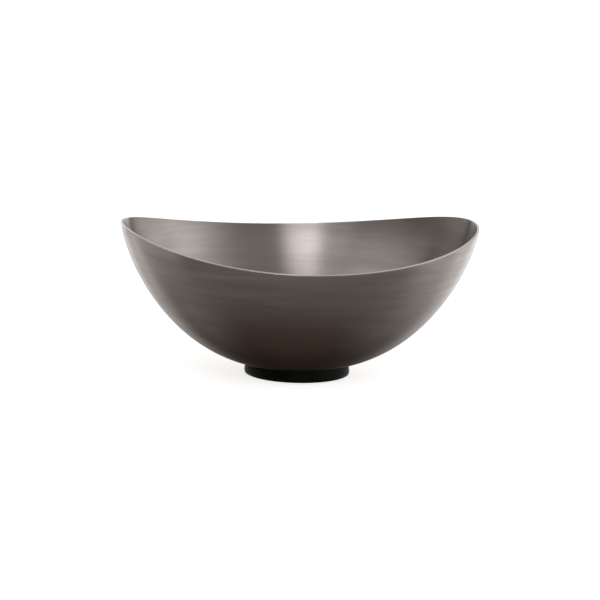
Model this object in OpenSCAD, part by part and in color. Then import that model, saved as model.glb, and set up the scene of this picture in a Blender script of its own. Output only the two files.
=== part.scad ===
// Oval serving boat: one pressed metal shell with a saddle rim, standing on a
// round black moulded foot. The foot is pulled up against the shell by a nut on
// a stud that is welded under the middle of the shell.
// Z is up, X runs from tip to tip, and the table is the plane Z = 0.

/* [Bowl] */
// Length outside, from tip to tip
bowl_l = 200; // [185:0.5:215]
// Width of the full oval, where the side walls would stand upright
bowl_w = 169.8; // [155:0.1:180]
// Height of the two tips of the rim
tip_h = 85.2; // [82:0.1:85.6]
// Height of the rim at the middle of each long side
side_h = 70.7; // [64:0.1:78]
// Thickness of the sheet
sheet_t = 1.2; // [0.8:0.1:1.6]
// Height at which the walls stand upright
upright_z = 85.78; // [85.7:0.01:88]
// Height of the flat under the bowl
flat_z = 5.4; // [5.2:0.05:5.8]
// Softness of the turn from the flat into the wall
flat_blend = 2; // [1.5:0.1:2.4]

/* [Bowl curves] */
// Squareness of the oval seen from above, where 2 is an ellipse
plan_n = 2.104; // [2:0.002:2.3]
// Fullness of the wall near the bottom
wall_p = 2.403; // [2.3:0.001:2.6]
// Fullness of the wall near the rim
wall_q = 1.439; // [1.35:0.001:1.6]
// Share of the rim's rise that comes late, near the tips
rim_late = 0.157; // [0:0.001:0.4]

/* [Foot] */
// Diameter of the foot at the table
foot_d = 59; // [58:0.5:61]
// Diameter of the foot where it meets the shell
foot_top_d = 57.4; // [57:0.1:57.8]
// Radius of the foot's round inner wall
foot_bore_r = 21.5; // [20.5:0.1:21.8]
// Gap between the foot's underside and the table
foot_lift = 0.3; // [0.2:0.05:0.5]
// Thickness of the foot's floor
web_t = 1.1; // [0.8:0.1:1.2]
// Number of stiffening ribs under the floor
rib_count = 6; // [3:1:12]
// Thickness of a rib
rib_t = 1.2; // [0.8:0.1:2]

/* [Seat] */
// Thickness of the bedding gasket between foot and shell
gasket_t = 0.5; // [0.4:0.05:0.7]
// Inner radius of the gasket
gasket_r1 = 23; // [22.8:0.1:23.5]
// Outer radius of the gasket
gasket_r2 = 27.4; // [26.5:0.1:27.6]

/* [Non-slip ring] */
// Inner radius of the ring under the foot
ring_r1 = 23.2; // [22.8:0.1:24]
// Outer radius of the ring under the foot
ring_r2 = 27.2; // [26:0.1:27.4]
// Height of the ring
ring_h = 2.1; // [1.5:0.1:2.4]

/* [Fastening] */
// Thread diameter of the stud
stud_d = 4; // [3:1:4]
// Diameter of the stud's welding flange
flange_d = 6; // [5.5:0.1:6.4]
// Thickness of the welding flange
flange_t = 0.8; // [0.6:0.1:1]
// Outer diameter of the plain washer
washer_d = 12; // [10:0.5:13]
// Thickness of the plain washer
washer_t = 0.5; // [0.4:0.1:0.6]
// Outer diameter of the toothed lock washer
lock_d = 8; // [7.5:0.1:9]
// Thickness of the toothed lock washer
lock_t = 0.5; // [0.4:0.1:0.6]
// Width of the nut across its flats
nut_af = 7; // [6.8:0.1:8]
// Thickness of the nut
nut_t = 2.2; // [1.8:0.1:2.2]

/* [Hidden] */
$fn = 96;

half_l = bowl_l / 2;
half_w = bowl_w / 2;
deep_z = 3.14;                    // where the wall curve would reach the axis
rise = upright_z - deep_z;
lip_z = 4.9;                      // the foot is round up to here, and above it follows the bowl
web_bot = lip_z - web_t;
washer_z = web_bot - washer_t;
lock_z = washer_z - lock_t;
nut_z = lock_z - nut_t;
stud_end = nut_z - 0.2;
around = 80;                      // points round the bowl
along = 18;                       // points from the middle to the rim
tiny = 0.05;

// ---- the bowl's outer surface -----------------------------------------
// A superellipsoid: oval sections that grow from the axis to the upright wall.
function pw(v, e) = sign(v) * pow(abs(v), e);
function oval(a) = [pw(cos(a), 2 / plan_n), pw(sin(a), 2 / plan_n)];
// plan share (0 at the axis, 1 where the wall is upright) from the height share
function share_at(h) = pow(1 - pow(1 - h, wall_q), 1 / wall_p);
// height of the bare wall curve from the plan share
function bare_z(r) = deep_z + rise * (1 - pow(1 - pow(r, wall_p), 1 / wall_q));
// the flat bottom, blended into the wall
function settle(z) =
    let (d = z - flat_z, k = flat_blend)
    d >= k ? z : d <= -k ? flat_z : flat_z + pow(d + k, 2) / (4 * k);
function settle_slope(z) =
    let (d = z - flat_z, k = flat_blend)
    d >= k ? 1 : d <= -k ? 0 : (d + k) / (2 * k);
// height of the rim at plan angle a, found by stepping towards it
function rim_height(x) =
    let (s = min(1, abs(x) / half_l))
    side_h + (tip_h - side_h) * ((1 - rim_late) * pow(s, 2) + rim_late * pow(s, 4));
function rim_z(a, z, n) = n == 0 ? z :
    rim_z(a, rim_height(half_l * share_at((z - deep_z) / rise) * oval(a)[0]), n - 1);
// turn of the wall curve at the rim: 0 at the axis, 90 where the wall is upright
function rim_turn(a) =
    let (h = (rim_z(a, tip_h, 14) - deep_z) / rise)
    acos(pow(1 - h, wall_q / 2));
// a point on the outer surface, and the unit normal that points into the bowl
function wall_point(o, t) =
    let (r = pow(sin(t), 2 / wall_p))
    [half_l * r * o[0], half_w * r * o[1], settle(bare_z(r))];
function wall_normal(o, t) =
    let (r = pow(sin(t), 2 / wall_p),
         steep = rise / wall_q * pow(1 - pow(r, wall_p), 1 / wall_q - 1)
                 * wall_p * pow(r, wall_p - 1) * settle_slope(bare_z(r)),
         v = [-steep * pw(o[0], plan_n - 1) / half_l,
              -steep * pw(o[1], plan_n - 1) / half_w, 1])
    v / norm(v);
// height of the outer surface over the plan point at radius r and angle a
function under_z(r, a) =
    let (x = abs(r * cos(a)) / half_l, y = abs(r * sin(a)) / half_w)
    settle(bare_z(pow(pow(x, plan_n) + pow(y, plan_n), 1 / plan_n)));

// ---- helpers ------------------------------------------------------------
// faces of a closed band between two rows of n points that start at a and b
function band(a, b, n) = [for (i = [0:n - 1]) let (j = (i + 1) % n)
    each [[a + i, b + i, b + j], [a + i, b + j, a + j]]];

// ring with the closed profile p, whose corners are [radius, height] where the
// height is level, or [radius, depth, true] where it is a depth below the bowl
module bed_ring(p, n = 80) {
    m = len(p);
    polyhedron(
        points = [for (c = p) for (i = [0:n - 1]) let (a = 360 * i / n)
            [c[0] * cos(a), c[0] * sin(a), c[2] == true ? under_z(c[0], a) - c[1] : c[1]]],
        faces = [for (k = [0:m - 1]) each band(k * n, (k + 1) % m * n, n)],
        convexity = 6);
}

// flat ring of rectangular section
module plain_ring(r1, r2, z, h) {
    translate([0, 0, z]) difference() {
        cylinder(r = r2, h = h);
        translate([0, 0, -1]) cylinder(r = r1, h = h + 2);
    }
}

// ---- the pieces -----------------------------------------------------------
// Pressed sheet shell, cut to a saddle rim with the cut square to the wall
module bowl_shell() {
    n = around;
    m = along;
    os = [for (i = [0:n - 1]) oval(360 * i / n)];
    ts = [for (i = [0:n - 1]) rim_turn(360 * i / n)];
    fs = [for (k = [1:m]) pow(k / m, 1.15)];
    outer = [for (f = fs) for (i = [0:n - 1]) wall_point(os[i], ts[i] * f)];
    inner = [for (f = fs) for (i = [0:n - 1])
        wall_point(os[i], ts[i] * f) + sheet_t * wall_normal(os[i], ts[i] * f)];
    c = 2 * m * n;
    color([0.44, 0.41, 0.40])
    polyhedron(
        points = concat(outer, inner, [[0, 0, flat_z], [0, 0, flat_z + sheet_t]]),
        faces = concat(
            [for (k = [0:m - 2]) each band(k * n, (k + 1) * n, n)],
            [for (k = [0:m - 2]) each band((m + k + 1) * n, (m + k) * n, n)],
            band((m - 1) * n, (2 * m - 1) * n, n),
            [for (i = [0:n - 1]) [c, i, (i + 1) % n]],
            [for (i = [0:n - 1]) [c + 1, m * n + (i + 1) % n, m * n + i]]),
        convexity = 6);
}

// Threaded stud with a flange, welded to the flat under the bowl
module weld_stud() {
    color([0.72, 0.72, 0.70])
    rotate_extrude() polygon([
        [0, stud_end], [stud_d / 2 - 0.4, stud_end], [stud_d / 2, stud_end + 0.4],
        [stud_d / 2, flat_z - flange_t], [flange_d / 2, flat_z - flange_t],
        [flange_d / 2, flat_z], [0, flat_z]]);
}

// Soft ring that beds the foot on the shell and keeps water out of the foot
module seat_gasket() {
    r1 = gasket_r1 + tiny;
    r2 = gasket_r2 - tiny;
    color([0.10, 0.10, 0.10])
    bed_ring(concat(
        [for (k = [0:3]) [r1 + (r2 - r1) * k / 3, gasket_t, true]],
        [for (k = [3:-1:0]) [r1 + (r2 - r1) * k / 3, 0.02, true]]));
}

// Moulded foot: wall with a lip that follows the bowl, floor with the stud's
// hole, hub and ribs
module foot_body() {
    r = foot_d / 2;
    rt = foot_top_d / 2;
    z0 = foot_lift;
    // the side leans in a little above the table edge
    function side_r(z) = r - 0.6 * (r - rt) * pow(max(0, z - z0 - 0.9) / (lip_z - z0 - 0.9), 1.6);
    color([0.06, 0.06, 0.06])
    union() {
        // wall, groove for the non-slip ring, floor and hub in one turned profile
        rotate_extrude() polygon(concat(
            [[flange_d / 2 + 0.3, web_bot], [7.2, web_bot], [7.2, web_bot - 1.6],
             [8.4, web_bot - 1.6], [8.4, web_bot], [foot_bore_r, web_bot],
             [foot_bore_r, z0 + 0.3], [foot_bore_r + 0.3, z0],
             [ring_r1, z0], [ring_r1, ring_h], [ring_r2, ring_h], [ring_r2, z0],
             [r - 0.8, z0], [r - 0.35, z0 + 0.12], [r - 0.08, z0 + 0.45]],
            [for (k = [0:4]) let (z = z0 + 0.9 + (lip_z - z0 - 0.9) * k / 4) [side_r(z), z]],
            [[flange_d / 2 + 0.3, lip_z]]));
        // lip that takes the bowl, with a groove for the gasket
        bed_ring([
            [foot_bore_r + 0.1, lip_z - 0.2],
            [rt, lip_z - 0.2],
            [rt, 0.08, true],
            [gasket_r2, 0.08, true],
            [gasket_r2, gasket_t, true],
            [(gasket_r1 + gasket_r2) / 2, gasket_t, true],
            [gasket_r1, gasket_t, true],
            [gasket_r1, 0.08, true],
            [foot_bore_r + 0.1, 0.08, true]]);
        // ribs between hub and wall
        for (i = [0:rib_count - 1]) rotate([0, 0, 360 * i / rib_count + 30])
            translate([7.8, -rib_t / 2, web_bot - 1.3])
                cube([foot_bore_r - 7.8 + 0.5, rib_t, 1.3 + web_t / 2]);
    }
}

// Rubber ring in the groove under the foot, which the bowl stands on
module non_slip_ring() {
    r1 = ring_r1 + 0.02;
    r2 = ring_r2 - 0.02;
    color([0.09, 0.09, 0.09])
    rotate_extrude() polygon([
        [r1 + 0.5, 0], [r2 - 0.5, 0], [r2 - 0.1, 0.2], [r2, 0.6], [r2, ring_h - 0.02],
        [r1, ring_h - 0.02], [r1, 0.6], [r1 + 0.1, 0.2]]);
}

// Plain washer under the foot's floor
module plain_washer() {
    color([0.75, 0.75, 0.73])
    plain_ring(stud_d / 2 + 0.15, washer_d / 2, washer_z, washer_t);
}

// Lock washer with teeth round its outside
module lock_washer() {
    teeth = 10;
    color([0.70, 0.70, 0.68])
    difference() {
        plain_ring(stud_d / 2 + 0.1, lock_d / 2, lock_z, lock_t);
        for (i = [0:teeth - 1]) rotate([0, 0, 360 * i / teeth])
            translate([lock_d / 2 - 0.75, -0.3, lock_z - 1])
                cube([2, 0.6, lock_t + 2]);
    }
}

// Low hexagon nut, chamfered on its outer face
module clamp_nut() {
    c = nut_af / 2 / cos(30);
    color([0.74, 0.74, 0.72])
    difference() {
        intersection() {
            translate([0, 0, nut_z]) cylinder(r = c, h = nut_t, $fn = 6);
            rotate_extrude() polygon([
                [0, nut_z], [nut_af / 2 - 0.05, nut_z], [c + 0.1, nut_z + 0.4],
                [c + 0.1, nut_z + nut_t], [0, nut_z + nut_t]]);
        }
        rotate_extrude() polygon([
            [0, nut_z - 1], [stud_d / 2 + 1.35, nut_z - 1], [stud_d / 2 + tiny, nut_z + 0.3],
            [stud_d / 2 + tiny, nut_z + nut_t + 1], [0, nut_z + nut_t + 1]]);
    }
}

bowl_shell();
weld_stud();
seat_gasket();
foot_body();
non_slip_ring();
plain_washer();
lock_washer();
clamp_nut();
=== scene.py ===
"""Looks for the oval serving bowl: smooth high-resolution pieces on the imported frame, brushed metal, studio light."""
import math

import bpy
import numpy as np
from mathutils import Matrix, Vector


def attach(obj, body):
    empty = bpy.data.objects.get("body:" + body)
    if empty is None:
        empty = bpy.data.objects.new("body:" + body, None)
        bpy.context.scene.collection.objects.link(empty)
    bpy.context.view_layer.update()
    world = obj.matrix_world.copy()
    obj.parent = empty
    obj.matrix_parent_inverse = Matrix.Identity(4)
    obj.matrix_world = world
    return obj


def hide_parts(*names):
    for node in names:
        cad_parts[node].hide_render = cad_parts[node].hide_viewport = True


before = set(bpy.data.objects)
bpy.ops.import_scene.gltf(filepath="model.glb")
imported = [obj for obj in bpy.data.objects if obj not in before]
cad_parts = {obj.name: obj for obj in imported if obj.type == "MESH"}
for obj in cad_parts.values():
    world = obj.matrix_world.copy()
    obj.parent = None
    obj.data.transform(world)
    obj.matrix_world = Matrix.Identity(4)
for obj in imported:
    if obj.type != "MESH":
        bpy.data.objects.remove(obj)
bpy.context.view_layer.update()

MM = 0.001

# ---------------------------------------------------------------------------
# Dimensions, in millimetres, as in the CAD source
# ---------------------------------------------------------------------------
HALF_L, HALF_W = 100.0, 84.9
DEEP_Z, UPRIGHT_Z = 3.14, 85.78
RISE = UPRIGHT_Z - DEEP_Z
TIP_H, SIDE_H = 85.2, 70.7
FLAT_Z, FLAT_BLEND = 5.4, 2.0
PLAN_BULGE = 0.0173          # how far the plan stands outside an ellipse on the diagonals
WALL_P, WALL_Q = 2.403, 1.439
RIM_LATE = 0.157
SHEET = 1.2
FOOT_R, FOOT_TOP_R, FOOT_BORE = 29.5, 28.7, 21.5
FOOT_LIFT, LIP_Z = 0.3, 4.9
WEB_BOT = 3.8
HUB_BOT = WEB_BOT - 1.6
RING_R1, RING_R2, RING_H = 23.2, 27.2, 2.1
GASKET_T, GASKET_R1, GASKET_R2 = 0.5, 23.0, 27.4
WASHER_Z, LOCK_Z, NUT_Z, STUD_END = 3.3, 2.8, 0.6, 0.4


# ---------------------------------------------------------------------------
# The bowl's outer surface
# ---------------------------------------------------------------------------
def plan_r(th):
    return 1.0 + PLAN_BULGE * np.sin(2 * th) ** 2


def bare_z(rho):
    rho = np.clip(rho, 0.0, 1.0)
    return DEEP_Z + RISE * (1.0 - (1.0 - rho ** WALL_P) ** (1.0 / WALL_Q))


def settle(z):
    d, k = z - FLAT_Z, FLAT_BLEND
    return np.where(d >= k, z, np.where(d <= -k, FLAT_Z, FLAT_Z + (d + k) ** 2 / (4 * k)))


def share(t):
    return np.sin(t) ** (2.0 / WALL_P)


def outer(th, t):
    """Point of the outer surface at plan angle th and wall angle t, 0 at the axis and pi/2 where the wall is upright."""
    rho = share(t)
    r = rho * plan_r(th)
    return np.stack([HALF_L * r * np.cos(th), HALF_W * r * np.sin(th), settle(bare_z(rho))], -1)


def normal(th, t):
    """Unit normal that points into the bowl."""
    h = 1e-4
    a = outer(th + h, t) - outer(th - h, t)
    b = outer(th, np.minimum(t + h, math.pi / 2)) - outer(th, np.maximum(t - h, 1e-5))
    n = np.cross(a, b)
    n /= np.linalg.norm(n, axis=-1, keepdims=True)
    return np.where(n[..., 2:3] < 0, -n, n)


def rim_height(x):
    s = np.minimum(1.0, np.abs(x) / HALF_L)
    return SIDE_H + (TIP_H - SIDE_H) * ((1 - RIM_LATE) * s ** 2 + RIM_LATE * s ** 4)


def rim_t(th):
    lo, hi = np.full_like(th, 0.5), np.full_like(th, math.pi / 2)
    for _ in range(60):
        m = (lo + hi) / 2
        p = outer(th, m)
        low = p[..., 2] < rim_height(p[..., 0])
        lo, hi = np.where(low, m, lo), np.where(low, hi, m)
    return (lo + hi) / 2


def under_z(r, a):
    """Height of the outer surface over the plan point at radius r and angle a."""
    x, y = r * np.cos(a) / HALF_L, r * np.sin(a) / HALF_W
    rho = np.hypot(x, y) / plan_r(np.arctan2(y, x))
    return settle(bare_z(rho))


# length along the wall from the axis, as a function of the plan share, for the brushing's lines
_rho = np.linspace(0, 1, 4001)
_mean = (HALF_L + HALF_W) / 2
_s = np.concatenate([[0], np.cumsum(np.hypot(np.diff(_rho) * _mean, np.diff(settle(bare_z(_rho)))))])


def wall_length(rho):
    return np.interp(rho, _rho, _s)


# ---------------------------------------------------------------------------
# Mesh helpers
# ---------------------------------------------------------------------------
def new_mesh(name, verts, faces, mats, face_mat=None, smooth=True, uv=None, brush=None, sharp_deg=None):
    """An object from arrays in millimetres. uv is one pair per corner, brush one vector per vertex."""
    me = bpy.data.meshes.new(name)
    me.from_pydata((np.asarray(verts, float) * MM).tolist(), [], [list(map(int, f)) for f in faces])
    for m in mats:
        me.materials.append(m)
    me.polygons.foreach_set("use_smooth", np.full(len(me.polygons), bool(smooth)))
    if face_mat is not None:
        me.polygons.foreach_set("material_index", np.asarray(face_mat, np.int32))
    if uv is not None:
        layer = me.uv_layers.new(name="brushed")
        layer.data.foreach_set("uv", np.asarray(uv, np.float32).ravel())
    if brush is not None:
        at = me.attributes.new("brush", "FLOAT_VECTOR", "POINT")
        at.data.foreach_set("vector", np.asarray(brush, np.float32).ravel())
    me.validate(verbose=False)
    me.update()
    o = bpy.data.objects.new(name, me)
    bpy.context.scene.collection.objects.link(o)
    if sharp_deg is not None:
        me.set_sharp_from_angle(angle=math.radians(sharp_deg))
    return o


def ring_faces(rows, n, closed=False, flip=False):
    """Quads between rows of n points each, row after row."""
    k = np.arange(rows if closed else rows - 1)[:, None]
    i = np.arange(n)[None, :]
    j = (i + 1) % n
    k2 = (k + 1) % rows
    f = np.stack([k * n + i, k * n + j, k2 * n + j, k2 * n + i], -1).reshape(-1, 4)
    return f[:, ::-1] if flip else f


def fillet(points, radii, steps=5):
    """A closed profile with its corners rounded. points are [r, z]; radii one per corner."""
    pts = [np.array(p, float) for p in points]
    out = []
    n = len(pts)
    for i in range(n):
        p, a, b = pts[i], pts[i - 1], pts[(i + 1) % n]
        r = radii[i] if hasattr(radii, "__len__") else radii
        if r <= 0:
            out.append(p)
            continue
        u, v = (a - p), (b - p)
        lu, lv = np.linalg.norm(u), np.linalg.norm(v)
        u, v = u / lu, v / lv
        c = float(np.clip(np.dot(u, v), -1, 1))
        half = math.acos(c) / 2
        if half > math.pi / 2 - 0.02:
            out.append(p)
            continue
        d = min(r / math.tan(half), 0.48 * lu, 0.48 * lv)
        p0, p1 = p + u * d, p + v * d
        for s in range(steps + 1):
            t = s / steps
            out.append((1 - t) ** 2 * p0 + 2 * t * (1 - t) * p + t * t * p1)
    return np.array(out)


def turned(name, profile, mats, n=192, closed=True, axis_caps=False, **kw):
    """A solid of revolution from a closed profile of [r, z] points."""
    prof = np.asarray(profile, float)
    a = np.linspace(0, 2 * math.pi, n, endpoint=False)
    v = np.stack([prof[:, 0][:, None] * np.cos(a), prof[:, 0][:, None] * np.sin(a),
                  np.repeat(prof[:, 1][:, None], n, 1)], -1).reshape(-1, 3)
    f = ring_faces(len(prof), n, closed=closed)
    u = np.arange(n) / n
    area = 0.5 * np.sum(prof[:, 0] * np.roll(prof[:, 1], -1) - np.roll(prof[:, 0], -1) * prof[:, 1])
    if area < 0:
        f = f[:, ::-1]
    s = np.concatenate([[0], np.cumsum(np.linalg.norm(np.diff(np.vstack([prof, prof[:1]]), axis=0), axis=1))])
    rows = np.asarray(f) // n
    cols = np.asarray(f) % n
    wrap = (cols.max(1) - cols.min(1)) > 1
    uu = cols / n + np.where(wrap[:, None] & (cols == 0), 1.0, 0.0)
    vv = s[rows] + np.where((rows == 0) & (rows.max(1) == len(prof) - 1)[:, None], s[-1], 0.0)
    uv = np.stack([uu, vv / 10.0], -1).reshape(-1, 2)
    ang = np.tile(a, len(prof))
    brush = np.stack([np.cos(ang), np.sin(ang), np.repeat(s[:-1], n) / 10.0], -1)
    return new_mesh(name, v, f, mats, uv=uv, brush=brush, **kw)


# ---------------------------------------------------------------------------
# Materials
# ---------------------------------------------------------------------------
def material(name):
    m = bpy.data.materials.new(name)
    m.use_nodes = True
    nt = m.node_tree
    nt.nodes.clear()
    out = nt.nodes.new("ShaderNodeOutputMaterial")
    bs = nt.nodes.new("ShaderNodeBsdfPrincipled")
    nt.links.new(bs.outputs[0], out.inputs["Surface"])
    return m, nt, bs


def add(nt, kind, **props):
    n = nt.nodes.new(kind)
    for k, v in props.items():
        setattr(n, k, v)
    return n


def math_node(nt, op, a, b=None, c=None, clamp=False):
    n = add(nt, "ShaderNodeMath", operation=op, use_clamp=clamp)
    for i, v in enumerate((a, b, c)):
        if v is None:
            continue
        if hasattr(v, "is_linked") or hasattr(v, "links"):
            nt.links.new(v, n.inputs[i])
        else:
            n.inputs[i].default_value = v
    return n.outputs[0]


def vec_scale(nt, v, xyz):
    n = add(nt, "ShaderNodeVectorMath", operation="MULTIPLY")
    nt.links.new(v, n.inputs[0])
    n.inputs[1].default_value = xyz
    return n.outputs[0]


def noise(nt, co, scale, detail=3.0, rough=0.55, distortion=0.0):
    n = add(nt, "ShaderNodeTexNoise")
    n.inputs["Scale"].default_value = scale
    n.inputs["Detail"].default_value = detail
    n.inputs["Roughness"].default_value = rough
    n.inputs["Distortion"].default_value = distortion
    nt.links.new(co, n.inputs["Vector"])
    return n.outputs[0]


def ramp(nt, value, low, high, out_low=0.0, out_high=1.0):
    n = add(nt, "ShaderNodeMapRange")
    nt.links.new(value, n.inputs["Value"])
    n.inputs["From Min"].default_value = low
    n.inputs["From Max"].default_value = high
    n.inputs["To Min"].default_value = out_low
    n.inputs["To Max"].default_value = out_high
    return n.outputs["Result"]


def mix_color(nt, fac, a, b):
    n = add(nt, "ShaderNodeMix", data_type="RGBA")
    for s, v in (("A", a), ("B", b)):
        sock = [i for i in n.inputs if i.name == s and i.type == "RGBA"][0]
        if hasattr(v, "links"):
            nt.links.new(v, sock)
        else:
            sock.default_value = (*v, 1.0)
    f = [i for i in n.inputs if i.name == "Factor" and i.type == "VALUE"][0]
    if hasattr(fac, "links"):
        nt.links.new(fac, f)
    else:
        f.default_value = fac
    return [o for o in n.outputs if o.type == "RGBA"][0]


def brushed_metal(name, tint_a, tint_b, roughness, spread, aniso, bump=0.02, line_scale=1.0):
    """Metal brushed round the bowl: hairlines, streaks a couple of millimetres wide, and bands where one pass of the
    brush lies beside the next."""
    m, nt, bs = material(name)
    at = add(nt, "ShaderNodeAttribute", attribute_name="brush")
    co = at.outputs["Vector"]
    hair = noise(nt, vec_scale(nt, co, (3.0, 3.0, 260.0 * line_scale)), 1.0, detail=4.0, rough=0.6)
    streak = noise(nt, vec_scale(nt, co, (2.6, 2.6, 36.0 * line_scale)), 1.0, detail=3.0, rough=0.55)
    band = noise(nt, vec_scale(nt, co, (1.5, 1.5, 15.0)), 1.0, detail=2.0, rough=0.5, distortion=0.25)
    lines = math_node(nt, "MULTIPLY_ADD", streak, 0.7, math_node(nt, "MULTIPLY", hair, 0.3))
    tone = math_node(nt, "MULTIPLY_ADD", lines, 0.58, math_node(nt, "MULTIPLY", band, 0.42))
    nt.links.new(mix_color(nt, ramp(nt, tone, 0.36, 0.64), tint_a, tint_b), bs.inputs["Base Color"])
    nt.links.new(ramp(nt, tone, 0.3, 0.7, roughness + spread, roughness - spread), bs.inputs["Roughness"])
    bs.inputs["Metallic"].default_value = 1.0
    bs.inputs["Anisotropic"].default_value = aniso
    bs.inputs["Anisotropic Rotation"].default_value = 0.25
    tan = add(nt, "ShaderNodeTangent", direction_type="UV_MAP", uv_map="brushed")
    nt.links.new(tan.outputs[0], bs.inputs["Tangent"])
    bp = add(nt, "ShaderNodeBump")
    bp.inputs["Strength"].default_value = 1.0
    bp.inputs["Distance"].default_value = bump * MM
    nt.links.new(lines, bp.inputs["Height"])
    nt.links.new(bp.outputs[0], bs.inputs["Normal"])
    return m


def moulded(name, color_a, color_b, roughness, grain_mm, bump_mm, spec=0.5):
    """Moulded plastic or rubber: fine grain and soft cloudy patches."""
    m, nt, bs = material(name)
    tc = add(nt, "ShaderNodeTexCoord")
    co = tc.outputs["Object"]
    grain = noise(nt, co, 1.0 / (grain_mm * MM), detail=3.0, rough=0.6)
    cloud = noise(nt, co, 90.0, detail=3.0, rough=0.5)
    tone = math_node(nt, "MULTIPLY_ADD", grain, 0.35, math_node(nt, "MULTIPLY", cloud, 0.65))
    nt.links.new(mix_color(nt, ramp(nt, tone, 0.38, 0.64), color_a, color_b), bs.inputs["Base Color"])
    nt.links.new(ramp(nt, tone, 0.3, 0.7, roughness - 0.06, roughness + 0.08), bs.inputs["Roughness"])
    bs.inputs["Specular IOR Level"].default_value = spec
    bp = add(nt, "ShaderNodeBump")
    bp.inputs["Strength"].default_value = 1.0
    bp.inputs["Distance"].default_value = bump_mm * MM
    nt.links.new(grain, bp.inputs["Height"])
    nt.links.new(bp.outputs[0], bs.inputs["Normal"])
    return m


shell_out = brushed_metal("shell_outside", (0.384, 0.341, 0.331), (0.492, 0.445, 0.421), 0.295, 0.025, 0.81, bump=0.004)
shell_in = brushed_metal("shell_inside", (0.400, 0.356, 0.346), (0.475, 0.429, 0.410), 0.29, 0.03, 0.81, bump=0.004)
shell_rim = brushed_metal("shell_rim", (0.72, 0.69, 0.67), (0.80, 0.77, 0.75), 0.24, 0.04, 0.2, bump=0.006)
# The foot's colour is darker than its black plastic's own. The extra darkness is painted shade: it stands in for the
# shade the floor would cast on the foot, since the floor is set to cast no shadow.
foot_black_painted_shade = moulded("foot_black_painted_shade", (0.0042, 0.0039, 0.0037), (0.0066, 0.0062, 0.0059), 0.45, 0.35, 0.012, spec=0.10)
ring_black = moulded("ring_black", (0.016, 0.016, 0.017), (0.030, 0.030, 0.031), 0.62, 0.25, 0.02, spec=0.4)
gasket_black = moulded("gasket_black", (0.03, 0.03, 0.03), (0.05, 0.05, 0.05), 0.7, 0.3, 0.02, spec=0.3)
fix_steel = brushed_metal("fixing_zinc", (0.60, 0.60, 0.58), (0.72, 0.71, 0.68), 0.30, 0.06, 0.2, bump=0.004)

# ---------------------------------------------------------------------------
# Shell
# ---------------------------------------------------------------------------
N = 512


def build_shell():
    th = np.linspace(0, 2 * math.pi, N, endpoint=False)
    tr = rim_t(th)
    p_rim, n_rim = outer(th, tr), normal(th, tr)
    # frame at the rim: inward normal, and the way up the wall, square to the rim's own line
    line = np.roll(p_rim, -1, 0) - np.roll(p_rim, 1, 0)
    line /= np.linalg.norm(line, axis=1, keepdims=True)
    up = np.cross(n_rim, line)
    up /= np.linalg.norm(up, axis=1, keepdims=True)
    up = np.where(up[:, 2:3] < 0, -up, up)
    speed = np.linalg.norm(outer(th, tr) - outer(th, tr - 1e-4), axis=1) / 1e-4
    fil = 0.26
    t_end = tr - (fil + 0.25) / speed
    m_out, m_in = 120, 108
    rows, brush_s = [], []
    f_out = np.linspace(0, 1, m_out + 1)[1:] ** 1.12
    for f in f_out:
        rows.append(outer(th, t_end * f))
        brush_s.append(wall_length(share(t_end * f)))
    n_outer = len(rows)
    # rim: from the wall over a rounded edge, across the cut, over the other edge
    s_rim = wall_length(share(tr))
    prof = [(0.0, -fil)] + [(fil * (1 - math.cos(math.radians(a))), -fil * (1 - math.sin(math.radians(a)))) for a in (18, 36, 54, 72, 90)]
    prof += [(SHEET / 2, 0.0)]
    prof += [(SHEET - x, z) for x, z in reversed(prof[:-1])]
    for x, z in prof:
        rows.append(p_rim + n_rim * x + up * z)
        brush_s.append(s_rim + x)
    n_rimrows = len(rows)
    f_in = np.linspace(0, 1, m_in + 1)[1:][::-1] ** 1.12
    for f in f_in:
        t = t_end * f
        rows.append(outer(th, t) + SHEET * normal(th, t))
        brush_s.append(wall_length(share(t)))
    R = len(rows)
    v = np.concatenate(rows + [np.array([[0, 0, FLAT_Z], [0, 0, FLAT_Z + SHEET]])])
    quads = ring_faces(R, N, flip=False)
    c0, c1 = R * N, R * N + 1
    i = np.arange(N)
    j = (i + 1) % N
    bottom = np.stack([np.full(N, c0), j, i], -1)
    last = (R - 1) * N
    top = np.stack([np.full(N, c1), last + i, last + j], -1)
    faces = [tuple(q) for q in quads] + [tuple(q) for q in bottom] + [tuple(q) for q in top]
    s = np.array(brush_s)                       # rows by N
    su = np.concatenate([s.ravel() if s.shape == (R, N) else np.zeros(R * N), [0.0, 0.0]])
    # corners
    row = quads // N
    col = quads % N
    wrap = (col.max(1) - col.min(1)) > 1
    uu = col / N + np.where(wrap[:, None] & (col == 0), 1.0, 0.0)
    vv = su[quads] / 100.0
    uv = [np.stack([uu, vv], -1).reshape(-1, 2)]
    for tri, base in ((bottom, 0), (top, last)):
        u = np.stack([(i + 0.5) / N, (i + 1) / N if base == 0 else i / N, i / N if base == 0 else (i + 1) / N], -1)
        w = np.stack([np.zeros(N), su[tri[:, 1]] / 100.0, su[tri[:, 2]] / 100.0], -1)
        uv.append(np.stack([u, w], -1).reshape(-1, 2))
    uv = np.concatenate(uv)
    mats = np.zeros(len(faces), np.int32)
    k = quads[:, 0] // N
    mats[:len(quads)] = np.where(k < n_outer, 0, np.where(k < n_rimrows - 1, 2, 1))
    mats[len(quads) + N:] = 1
    ang = np.tile(th, R)
    brush = np.concatenate([np.stack([np.cos(ang), np.sin(ang), su[:-2] / 100.0], -1), [[0, 0, 0], [0, 0, 0]]])
    brush[n_rimrows * N:R * N, 2] += 3.7      # the inside is brushed by its own strokes
    o = new_mesh("bowl_shell_brushed", v, faces, [shell_out, shell_in, shell_rim], face_mat=mats, uv=uv, brush=brush)
    return o


shell = build_shell()
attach(shell, "root")
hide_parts("bowl_shell")


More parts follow.
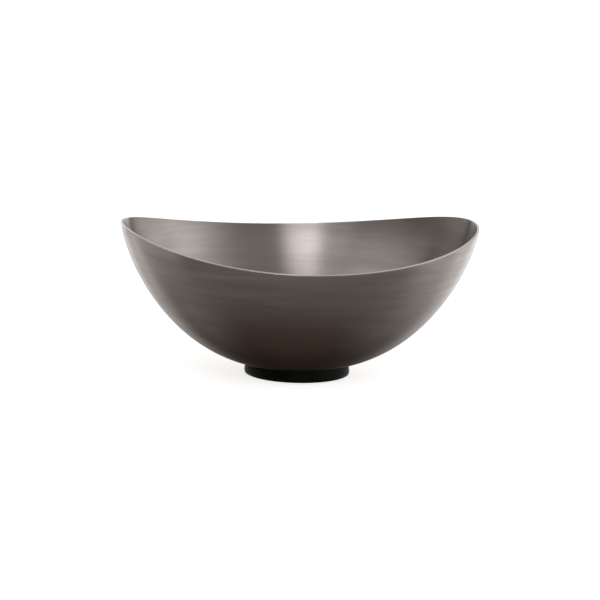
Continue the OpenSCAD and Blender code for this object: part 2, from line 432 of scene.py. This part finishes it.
# ---------------------------------------------------------------------------
# Foot: wall with a rounded edge, lip that follows the shell, floor, hub and ribs
# ---------------------------------------------------------------------------
def build_foot():
    n = 288
    a = np.linspace(0, 2 * math.pi, n, endpoint=False)
    # level part of the profile, from the stud's hole outwards under the foot and up the outside
    prof = fillet([
        [3.3, WEB_BOT], [7.2, WEB_BOT], [7.2, HUB_BOT], [8.4, HUB_BOT], [8.4, WEB_BOT], [FOOT_BORE, WEB_BOT],
        [FOOT_BORE, FOOT_LIFT], [RING_R1, FOOT_LIFT], [RING_R1, RING_H], [RING_R2, RING_H], [RING_R2, FOOT_LIFT],
        [FOOT_R - 0.15, FOOT_LIFT], [FOOT_R, 2.0], [FOOT_TOP_R + 0.42, LIP_Z], [FOOT_TOP_R, 6.2], [3.3, 6.2]],
        [0.2, 0.35, 0.2, 0.2, 0.35, 0.6, 0.3, 0.12, 0.15, 0.15, 0.12, 0.75, 1.6, 1.4, 0, 0], steps=5)
    prof = prof[:-2]
    rows = [np.stack([r * np.cos(a), r * np.sin(a), np.full(n, z)], -1) for r, z in prof]
    # the side carries on up to the shell, round the lip's edge, and back in along the shell
    r_last, z_last = prof[-1]
    top = under_z(np.full(n, FOOT_TOP_R), a) - 0.06
    for k in (0.35, 0.7):
        r = r_last + (FOOT_TOP_R + 0.06 - r_last) * k
        z = z_last + (top - 0.28 - z_last) * k
        rows.append(np.stack([r * np.cos(a), r * np.sin(a), z], -1))
    for r, d in ((FOOT_TOP_R + 0.03, 0.26), (FOOT_TOP_R - 0.01, 0.13), (FOOT_TOP_R - 0.12, 0.07), (FOOT_TOP_R - 0.35, 0.06),
                 (GASKET_R2 + 0.05, 0.06), (GASKET_R2 + 0.02, 0.12), (GASKET_R2, GASKET_T),
                 (GASKET_R1, GASKET_T), (GASKET_R1 - 0.02, 0.12), (GASKET_R1 - 0.05, 0.06), (FOOT_BORE + 0.3, 0.06)):
        rows.append(np.stack([r * np.cos(a), r * np.sin(a), under_z(np.full(n, r), a) - d], -1))
    rows.append(np.stack([(FOOT_BORE + 0.1) * np.cos(a), (FOOT_BORE + 0.1) * np.sin(a), np.full(n, LIP_Z)], -1))
    rows.append(np.stack([3.3 * np.cos(a), 3.3 * np.sin(a), np.full(n, LIP_Z)], -1))
    R = len(rows)
    v = np.concatenate(rows)
    f = ring_faces(R, n, closed=True)
    o = new_mesh("foot_moulded", v, f, [foot_black_painted_shade], sharp_deg=50)
    return o


def build_ribs():
    """Six ribs with rounded edges, drafted as moulded ribs are, in one mesh of separate bars."""
    verts, faces = [], []
    for i in range(6):
        ang = math.radians(60 * i + 30)
        c, s = math.cos(ang), math.sin(ang)
        sec = fillet([[-0.60, WEB_BOT - 1.3], [0.60, WEB_BOT - 1.3], [0.72, WEB_BOT + 0.3], [-0.72, WEB_BOT + 0.3]], [0.28, 0.28, 0, 0], steps=4)
        base = len(verts)
        xs = np.linspace(8.25, FOOT_BORE + 0.2, 9)
        for x in xs:
            for y, z in sec:
                # the rib rises a little in a fillet at each end
                end = min(x - 8.25, FOOT_BORE + 0.2 - x)
                drop = 0.35 * max(0.0, 1 - end / 1.2) ** 2 if z < WEB_BOT - 0.5 else 0.0
                verts.append((x * c - y * s, x * s + y * c, z - drop * 0.6))
        m = len(sec)
        for k in range(len(xs) - 1):
            for j in range(m):
                j2 = (j + 1) % m
                faces.append((base + k * m + j, base + (k + 1) * m + j, base + (k + 1) * m + j2, base + k * m + j2))
        faces.append(tuple(base + j for j in range(m)))
        faces.append(tuple(base + (len(xs) - 1) * m + j for j in reversed(range(m))))
    return new_mesh("foot_ribs", verts, faces, [foot_black_painted_shade], sharp_deg=40)


foot = build_foot()
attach(foot, "root")
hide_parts("foot_body")
ribs = build_ribs()
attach(ribs, "root")


# ---------------------------------------------------------------------------
# Rubber ring with two fine beads on the face that stands on the table
# ---------------------------------------------------------------------------
def build_ring():
    r1, r2 = RING_R1 + 0.02, RING_R2 - 0.02
    prof = [[r1, RING_H - 0.04], [r1, 0.45], [r1 + 0.12, 0.16]]
    for x in np.linspace(r1 + 0.35, r2 - 0.35, 33):
        u = (x - (r1 + 0.35)) / (r2 - r1 - 0.7)
        prof.append([x, 0.09 * (0.5 + 0.5 * math.cos(2 * math.pi * 3 * u))])
    prof += [[r2 - 0.12, 0.16], [r2, 0.45], [r2, RING_H - 0.04]]
    return turned("non_slip_ring_beaded", prof, [ring_black], n=256, sharp_deg=55)


ring = build_ring()
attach(ring, "root")
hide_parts("non_slip_ring")


# ---------------------------------------------------------------------------
# Gasket, following the shell
# ---------------------------------------------------------------------------
def build_gasket():
    n = 240
    a = np.linspace(0, 2 * math.pi, n, endpoint=False)
    r1, r2 = GASKET_R1 + 0.05, GASKET_R2 - 0.05
    cross = fillet([[r1, GASKET_T - 0.01], [r2, GASKET_T - 0.01], [r2, 0.03], [r1, 0.03]], 0.14, steps=4)
    rows = [np.stack([r * np.cos(a), r * np.sin(a), under_z(np.full(n, r), a) - d], -1) for r, d in cross]
    return new_mesh("seat_gasket_ring", np.concatenate(rows), ring_faces(len(rows), n, closed=True, flip=False), [gasket_black], sharp_deg=50)


gasket = build_gasket()
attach(gasket, "root")
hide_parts("seat_gasket")


# ---------------------------------------------------------------------------
# Fastening: threaded stud, plain washer, toothed lock washer, chamfered nut
# ---------------------------------------------------------------------------
def build_stud():
    """Flange and shank turned; the thread is a true helix of 0.7 mm pitch cut into the lower shank."""
    n, pitch, depth = 72, 0.7, 0.30
    z_top, z_bot = 3.9, STUD_END
    levels = np.arange(z_bot, z_top + 1e-6, 0.0583)
    a = np.linspace(0, 2 * math.pi, n, endpoint=False)
    rows = []
    for z in levels:
        ph = (z / pitch - a / (2 * math.pi)) % 1.0
        tri = np.abs(2 * ph - 1)
        r = 1.98 - depth * np.clip((tri - 0.12) / 0.76, 0, 1)
        lead = np.clip((z - z_bot) / 0.45, 0, 1)
        r = np.minimum(r, 1.50 + 0.48 * lead)
        out = np.clip((z_top - z) / 0.4, 0, 1)
        r = r * out + 1.98 * (1 - out)
        rows.append(np.stack([r * np.cos(a), r * np.sin(a), np.full(n, z)], -1))
    rows.insert(0, np.stack([1.3 * np.cos(a), 1.3 * np.sin(a), np.full(n, z_bot + 0.02)], -1))
    fl = [(1.98, 4.35), (2.05, 4.52), (2.25, 4.60), (2.82, 4.60), (2.95, 4.66), (3.0, 4.8), (3.0, FLAT_Z - 0.02)]
    for r, z in fl:
        rows.append(np.stack([r * np.cos(a), r * np.sin(a), np.full(n, z)], -1))
    v = np.concatenate(rows + [np.array([[0, 0, z_bot + 0.02], [0, 0, FLAT_Z - 0.02]])])
    R = len(rows)
    f = [tuple(q) for q in ring_faces(R, n)]
    c0, c1 = R * n, R * n + 1
    f += [(c0, (i + 1) % n, i) for i in range(n)]
    f += [(c1, (R - 1) * n + i, (R - 1) * n + (i + 1) % n) for i in range(n)]
    ang = np.tile(a, R)
    brush = np.concatenate([np.stack([np.cos(ang), np.sin(ang), v[:-2, 2] / 10.0], -1), [[0, 0, 0], [0, 0, 0]]])
    uv = []
    for q in f:
        for c in q:
            uv.append(((c % n) / n, v[c][2] / 10.0))
    return new_mesh("weld_stud_threaded", v, f, [fix_steel], uv=uv, brush=brush, sharp_deg=35)


def build_plain_washer():
    prof = fillet([[2.15, WASHER_Z], [6.0, WASHER_Z], [6.0, WASHER_Z + 0.5], [2.15, WASHER_Z + 0.5]], [0.05, 0.14, 0.05, 0.05], steps=4)
    return turned("plain_washer_pressed", prof, [fix_steel], n=160, sharp_deg=45)


def build_lock_washer():
    """Ten twisted teeth round a flat ring, as one sheet piece with its thickness."""
    n = 400
    a = np.linspace(0, 2 * math.pi, n, endpoint=False)
    ph = (a * 10 / (2 * math.pi)) % 1.0
    tooth = np.clip((np.abs(ph - 0.5) - 0.13) / 0.03, 0, 1)           # 1 on a tooth, 0 in a gap
    side = np.where(ph < 0.5, ph + 0.5, ph - 0.5) - 0.5               # along a tooth, from one flank to the other
    rows = []
    spec = [(2.1, 0.0), (3.2, 0.0), (3.35, 0.5), (3.97, 1.0)]
    for low in (True, False):
        for r, reach in (spec if low else spec[::-1]):
            rr = np.where(tooth > 0.5, r, np.minimum(r, 3.22 + 0.0 * r))
            twist = 0.20 * reach * np.sin(side * 3.0) * (tooth > 0.5)
            z = LOCK_Z + (0.16 if low else 0.36) + twist - (0.0)
            rows.append(np.stack([rr * np.cos(a), rr * np.sin(a), z], -1))
    v = np.concatenate(rows)
    f = ring_faces(len(rows), n, closed=True)
    ang = np.tile(a, len(rows))
    brush = np.stack([np.cos(ang), np.sin(ang), np.hypot(v[:, 0], v[:, 1]) / 10.0], -1)
    uv = np.stack([(f % n) / n, brush[f][:, :, 2]], -1).reshape(-1, 2)
    return new_mesh("lock_washer_toothed", v, f, [fix_steel], uv=uv, brush=brush, sharp_deg=30)


def build_nut():
    """Hexagon nut: flats cut back by a cone at both faces, and a countersunk bore with thread grooves."""
    n, af = 144, 7.0
    a = np.linspace(0, 2 * math.pi, n, endpoint=False)
    sect = (a + math.pi / 6) % (math.pi / 3) - math.pi / 6
    hexr = (af / 2) / np.cos(sect)
    hexr = np.minimum(hexr, af / 2 / math.cos(math.pi / 6) - 0.06)
    z0, z1 = NUT_Z, NUT_Z + 2.2
    rows = []

    def row(r, z):
        r = np.broadcast_to(r, a.shape)
        z = np.broadcast_to(z, a.shape)
        rows.append(np.stack([r * np.cos(a), r * np.sin(a), z], -1))

    for r in (2.6, 3.0, 3.3):
        row(r, z0)
    cone_b = z0 + np.maximum(0, hexr - 3.42) * math.tan(math.radians(30))
    row(3.42, z0 + 0.01)
    row(hexr - 0.02, cone_b)
    row(hexr, cone_b + 0.05)
    cone_t = z1 - np.maximum(0, hexr - 3.42) * math.tan(math.radians(30))
    row(hexr, (cone_b + cone_t) / 2)
    row(hexr, cone_t - 0.05)
    row(hexr - 0.02, cone_t)
    row(3.42, z1 - 0.01)
    for r in (3.3, 3.0, 2.6):
        row(r, z1)
    zs = np.arange(z1 - 0.3, z0 + 0.29, -0.0583)
    for z in zs:
        ph = (z / 0.7 - a / (2 * math.pi)) % 1.0
        tri = np.abs(2 * ph - 1)
        row(2.32 - 0.28 * np.clip((tri - 0.12) / 0.76, 0, 1) + 0.0, z)
    v = np.concatenate(rows)
    f = ring_faces(len(rows), n, closed=True)
    ang = np.tile(a, len(rows))
    brush = np.stack([np.cos(ang), np.sin(ang), v[:, 2] / 10.0], -1)
    uv = np.stack([(f % n) / n, v[f][:, :, 2] / 10.0], -1).reshape(-1, 2)
    return new_mesh("clamp_nut_hex", v, f, [fix_steel], uv=uv, brush=brush, sharp_deg=30)


for build, node in ((build_stud, "weld_stud"), (build_plain_washer, "plain_washer"),
                    (build_lock_washer, "lock_washer"), (build_nut, "clamp_nut")):
    piece = build()
    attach(piece, "root")
    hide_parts(node)

# ---------------------------------------------------------------------------
# Camera
# ---------------------------------------------------------------------------
PSI, ELEV, ROLL = math.radians(-8.9325), math.radians(11.0484), math.radians(1.4514)
DIST_PX, PX = 3476.7, 0.55925 * MM
side = Vector((math.cos(PSI), math.sin(PSI), 0))
deep = Vector((-math.sin(PSI), math.cos(PSI), 0))
look = deep * math.cos(ELEV) - Vector((0, 0, 1)) * math.sin(ELEV)
lift = deep * math.sin(ELEV) + Vector((0, 0, 1)) * math.cos(ELEV)
cam_x = side * math.cos(ROLL) + lift * math.sin(ROLL)
cam_y = -side * math.sin(ROLL) + lift * math.cos(ROLL)
pivot = Vector((0, 0, 75 * PX))
eye = pivot - look * (DIST_PX * PX) + cam_x * (1.449 * PX) - cam_y * (0.727 * PX)
cam = bpy.data.objects.new("camera", bpy.data.cameras.new("camera"))
cam.data.sensor_width = 36
cam.data.lens = 36 * DIST_PX / 600
cam.data.clip_start, cam.data.clip_end = 0.05, 50
m = Matrix.Identity(4)
for i in range(3):
    m[i][0], m[i][1], m[i][2], m[i][3] = cam_x[i], cam_y[i], -look[i], eye[i]
cam.matrix_world = m
bpy.context.scene.collection.objects.link(cam)
bpy.context.scene.camera = cam

# ---------------------------------------------------------------------------
# Stage and light
# ---------------------------------------------------------------------------
scene = bpy.context.scene
scene.view_settings.view_transform = "Standard"
scene.view_settings.look = "None"


def build_floor():
    me = bpy.data.meshes.new("floor")
    s = 6.0
    me.from_pydata([(-s, -s, 0), (s, -s, 0), (s, s, 0), (-s, s, 0)], [], [(0, 1, 2, 3)])
    o = bpy.data.objects.new("floor", me)
    scene.collection.objects.link(o)
    m, nt, bs = material("floor_paper")
    tc = add(nt, "ShaderNodeTexCoord")
    g = noise(nt, tc.outputs["Object"], 220.0, detail=3.0)
    nt.links.new(mix_color(nt, g, (0.88, 0.88, 0.88), (0.92, 0.92, 0.92)), bs.inputs["Base Color"])
    bs.inputs["Roughness"].default_value = 0.9
    bs.inputs["Specular IOR Level"].default_value = 0.1
    bs.inputs["Emission Color"].default_value = (1.0, 1.0, 1.0, 1.0)
    bs.inputs["Emission Strength"].default_value = 0.75
    me.materials.append(m)
    # white paper for the camera only: the cards light the bowl from every side, through the floor too
    o.visible_glossy = False
    o.visible_diffuse = False
    o.visible_shadow = False
    return o


floor = build_floor()

# Soft white cards round the bowl. Each row is where a card stands (azimuth from +X towards +Y and height, in
# degrees), half its width and the softness of its edges, half its height and their softness, and its level.
CARDS = {
    "strip":           (-93, 34, 10.5, 4, 18, 11, (1.73, 1.73, 1.73)),
    "beside_strip":    (-107, 40, 17.5, 7, 23, 16, (0.74, 0.74, 0.72)),
    "left_high":       (-165, 57, 38.5, 8, 30, 16, (0.74, 0.74, 0.72)),
    "right":           (-4, 17.5, 38, 21, 16, 9, (0.95, 0.97, 0.94)),
    "right_low":       (22.5, -23.5, 41, 11.5, 14.5, 14, (0.46, 0.46, 0.45)),
    "right_high":      (18, 55, 35, 11.5, 24, 4, (0.43, 0.43, 0.44)),
    "right_front":     (-41.5, 34, 38, 9, 24, 8.5, (0.35, 0.35, 0.345)),
    "back_right_low":  (45, -12, 22, 2, 16, 13, (0.52, 0.52, 0.51)),
    "back_left_low":   (112, -22, 17, 6, 14, 11.5, (0.55, 0.55, 0.54)),
    "back":            (122.5, 18.5, 40.5, 19, 13, 8, (0.275, 0.27, 0.25)),
    "backdrop":        (83, 18, 29.5, 11.5, 39, 5, (0.61, 0.61, 0.61)),
    "left_low":        (153.5, -13, 32.5, 6, 15, 14.5, (0.41, 0.41, 0.40)),
    "table":           (-100, -33, 135.5, 15, 29, 16.5, (0.25, 0.237, 0.213)),
    "under":           (0, -81, 179, 1, 9, 7, (0.048, 0.030, 0.022)),
    "paper_left":      (105, -2, 6.5, 2.5, 9, 4, (0.50, 0.49, 0.47)),
    "paper_right":     (60, -3, 7, 3, 9, 4, (0.30, 0.295, 0.285)),
}
# Narrow black flags where the backdrop paper ends, left and right of the camera's line: position as above, then how
# much light each one takes away.
FLAGS = {
    "paper_edge_right": (46.5, 0, 2.9, 1.6, 12, 4, 0.9),
    "paper_edge_left":  (116.5, 0, 3.1, 1.8, 12, 4, 0.9),
}
FILL = (0.011, 0.004, 0.001)          # the room beyond the cards
BACKDROP = (1.0, 1.0, 1.0)            # what the camera sees behind the floor


def build_world():
    w = bpy.data.worlds.new("studio")
    scene.world = w
    w.use_nodes = True
    nt = w.node_tree
    nt.nodes.clear()
    tc = add(nt, "ShaderNodeTexCoord")
    sep = add(nt, "ShaderNodeSeparateXYZ")
    nt.links.new(tc.outputs["Generated"], sep.inputs[0])
    az = math_node(nt, "ARCTAN2", sep.outputs["Y"], sep.outputs["X"])
    el = math_node(nt, "ARCSINE", sep.outputs["Z"])

    def window(dist, half, soft):
        n = add(nt, "ShaderNodeMapRange", interpolation_type="SMOOTHSTEP")
        nt.links.new(dist, n.inputs["Value"])
        n.inputs["From Min"].default_value = math.radians(half + soft)
        n.inputs["From Max"].default_value = math.radians(half - soft)
        return n.outputs["Result"]

    def patch(c_az, c_el, w_az, s_az, w_el, s_el):
        turn = math_node(nt, "MODULO", math_node(nt, "ADD", az, 3 * math.pi - math.radians(c_az)), 2 * math.pi)
        across = math_node(nt, "ABSOLUTE", math_node(nt, "SUBTRACT", turn, math.pi))
        above = math_node(nt, "ABSOLUTE", math_node(nt, "SUBTRACT", el, math.radians(c_el)))
        return math_node(nt, "MULTIPLY", window(across, w_az, s_az), window(above, w_el, s_el))

    total = None
    for c_az, c_el, w_az, s_az, w_el, s_el, level in CARDS.values():
        n = add(nt, "ShaderNodeVectorMath", operation="MULTIPLY_ADD")
        nt.links.new(patch(c_az, c_el, w_az, s_az, w_el, s_el), n.inputs[0])
        n.inputs[1].default_value = level
        if total is None:
            n.inputs[2].default_value = FILL
        else:
            nt.links.new(total, n.inputs[2])
        total = n.outputs[0]
    for c_az, c_el, w_az, s_az, w_el, s_el, share_out in FLAGS.values():
        n = add(nt, "ShaderNodeVectorMath", operation="SCALE")
        nt.links.new(total, n.inputs[0])
        shade = math_node(nt, "MULTIPLY_ADD", patch(c_az, c_el, w_az, s_az, w_el, s_el), -share_out, 1.0)
        nt.links.new(shade, n.inputs["Scale"])
        total = n.outputs[0]
    light = add(nt, "ShaderNodeBackground")
    nt.links.new(total, light.inputs["Color"])
    back = add(nt, "ShaderNodeBackground")
    back.inputs["Color"].default_value = (*BACKDROP, 1.0)
    path = add(nt, "ShaderNodeLightPath")
    pick = add(nt, "ShaderNodeMixShader")
    out = add(nt, "ShaderNodeOutputWorld")
    nt.links.new(path.outputs["Is Camera Ray"], pick.inputs[0])
    nt.links.new(light.outputs[0], pick.inputs[1])
    nt.links.new(back.outputs[0], pick.inputs[2])
    nt.links.new(pick.outputs[0], out.inputs["Surface"])
    return w


build_world()
